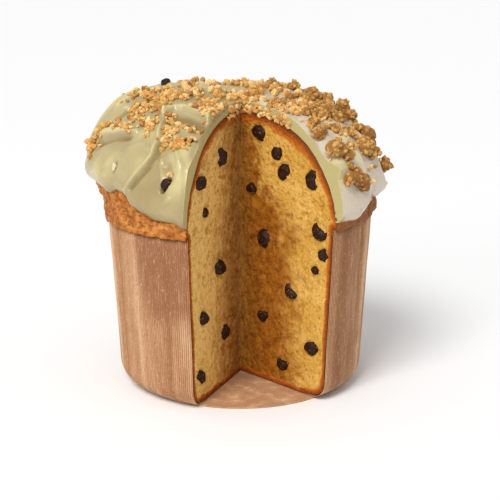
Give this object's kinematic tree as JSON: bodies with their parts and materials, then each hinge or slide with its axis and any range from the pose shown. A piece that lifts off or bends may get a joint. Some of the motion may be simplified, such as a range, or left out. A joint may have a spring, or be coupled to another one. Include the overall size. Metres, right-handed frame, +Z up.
{
  "type": "glazed panettone, cut open",
  "caption": "Tall domed sweet loaf in its ribbed paper baking case, glazed and topped with crumble, with one wedge cut out to show a golden crumb with chocolate drops.",
  "frame": {"origin": "centre of the underside of the paper case's floor sheet, on the axis of the case, where it stands on a table", "axes": "+Z up along the axis of the case; the cut-out wedge opens towards -Y, a little towards +X; +X is the side with the most crumble, and the dome swells over the rim furthest on -X"},
  "size_m": [0.1854, 0.1664, 0.1802],
  "materials": {
    "paper": "unbleached kraft paper, finely ribbed, matte, with darker greasy patches",
    "crumb": "soft golden crumb with fine pores, and a rough brown crust",
    "glaze": "thick pale green-beige icing in flowing folds, satin to glossy",
    "chocolate": "dark chocolate, softly glossy",
    "crumble": "rough baked crumble, matte, with darker hollows"
  },
  "bodies": {
    "root": {"case_floor": "paper", "case_wall": "paper", "chocolate_drop_dome_1": "chocolate", "chocolate_drop_dome_2": "chocolate", "chocolate_drop_dome_3": "chocolate", "chocolate_drop_left_14": "chocolate", "chocolate_drop_left_15": "chocolate", "chocolate_drop_left_16": "chocolate", "chocolate_drop_left_17": "chocolate", "chocolate_drop_left_18": "chocolate", "chocolate_drop_left_19": "chocolate", "chocolate_drop_left_20": "chocolate", "chocolate_drop_right_1": "chocolate", "chocolate_drop_right_10": "chocolate", "chocolate_drop_right_11": "chocolate", "chocolate_drop_right_12": "chocolate", "chocolate_drop_right_13": "chocolate", "chocolate_drop_right_2": "chocolate", "chocolate_drop_right_3": "chocolate", "chocolate_drop_right_4": "chocolate", "chocolate_drop_right_5": "chocolate", "chocolate_drop_right_6": "chocolate", "chocolate_drop_right_7": "chocolate", "chocolate_drop_right_8": "chocolate", "chocolate_drop_right_9": "chocolate", "crumble_01": "crumble", "crumble_02": "crumble", "crumble_03": "crumble", "crumble_04": "crumble", "crumble_05": "crumble", "crumble_06": "crumble", "crumble_07": "crumble", "crumble_08": "crumble", "crumble_09": "crumble", "crumble_10": "crumble", "crumble_11": "crumble", "crumble_12": "crumble", "crumble_13": "crumble", "crumble_14": "crumble", "crumble_15": "crumble", "crumble_16": "crumble", "crumble_17": "crumble", "crumble_18": "crumble", "crumble_19": "crumble", "crumble_20": "crumble", "crumble_21": "crumble", "crumble_22": "crumble", "crumble_23": "crumble", "crumble_24": "crumble", "crumble_25": "crumble", "crumble_26": "crumble", "crumble_27": "crumble", "crumble_28": "crumble", "crumble_29": "crumble", "crumble_30": "crumble", "crumble_31": "crumble", "crumble_32": "crumble", "crumble_33": "crumble", "glaze": "glaze", "loaf": "crumb"}
  },
  "joints": []
}
